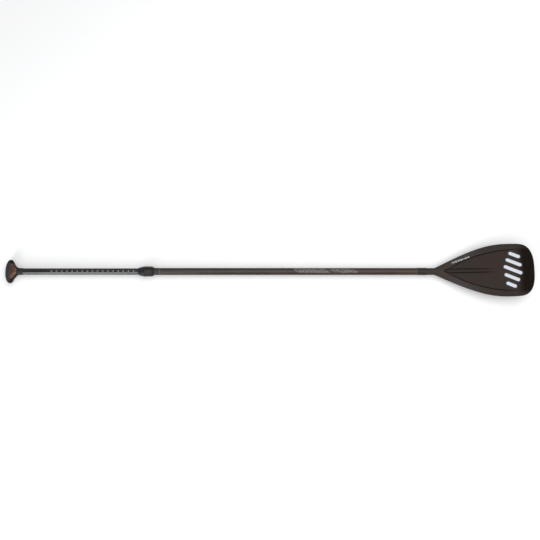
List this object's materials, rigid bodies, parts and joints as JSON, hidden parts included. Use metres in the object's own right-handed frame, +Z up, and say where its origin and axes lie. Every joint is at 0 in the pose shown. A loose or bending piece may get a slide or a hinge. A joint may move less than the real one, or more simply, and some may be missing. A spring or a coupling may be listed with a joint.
{
  "type": "adjustable single blade paddle",
  "caption": "Adjustable stand-up paddle with a palm grip, a cam-clamped sliding shaft and a canted, ribbed blade.",
  "frame": {"origin": "centre of the footprint, on the surface that the paddle lies on", "axes": "+X along the shaft from the grip to the blade's tip, +Y across the blade, +Z up, out of the blade's power face"},
  "size_m": [2.056, 0.2072, 0.0801],
  "materials": {
    "grip_nylon": "satin",
    "copper_inlay": "satin",
    "palm_rubber": "matt",
    "upper_tube": "black anodised, glossy",
    "lower_tube": "woven fibre under satin lacquer",
    "clamp_nylon": "fine moulded grain",
    "lever_nylon": "fine moulded grain",
    "white_nylon": "satin",
    "black_rubber": "matt",
    "eva_foam": "closed-cell foam",
    "stainless_steel": "brushed",
    "brass": "turned",
    "ferrule_nylon": "satin",
    "blade_nylon": "glass-filled nylon, satin"
  },
  "bodies": {
    "lower": {"lower_shaft": "lower_tube", "clamp_collar": "clamp_nylon", "clamp_bolt": "stainless_steel", "bolt_washer": "stainless_steel", "cam_saddle": "stainless_steel", "barrel_nut": "brass", "lower_foam_plug": "eva_foam", "joint_ferrule": "ferrule_nylon", "snap_spring": "stainless_steel", "blade": "blade_nylon"},
    "collet": {"collet_ring": "white_nylon"},
    "upper": {"grip_body": "grip_nylon", "grip_inlay_front": "copper_inlay", "grip_inlay_back": "copper_inlay", "palm_pad": "palm_rubber", "upper_shaft": "upper_tube", "slide_bush": "white_nylon", "slide_o_ring": "black_rubber", "upper_foam_plug": "eva_foam"},
    "lever": {"cam_lever": "lever_nylon"},
    "button": {"snap_button": "white_nylon"}
  },
  "joints": [
    {"name": "shaft_twist", "type": "hinge", "parent": "lower", "child": "collet", "pos_m": [-0.4675, 0, 0.0272], "axis": [1, 0, 0], "continuous": true},
    {"name": "length_adjust", "type": "slide", "parent": "collet", "child": "upper", "axis": [-1, 0, 0], "range_m": [-0.36, 0.04]},
    {"name": "lever_open", "type": "hinge", "parent": "lower", "child": "lever", "pos_m": [-0.4675, 0.0135, 0.0064], "axis": [-1, 0, 0], "range_deg": [0, 85]},
    {"name": "snap_press", "type": "slide", "parent": "lower", "child": "button", "axis": [0, -0.7071, 0.7071], "range_m": [0, 0.004], "stiffness_N_per_m": 2000, "springref_m": -0.0005, "deforming": ["snap_spring"]}
  ]
}
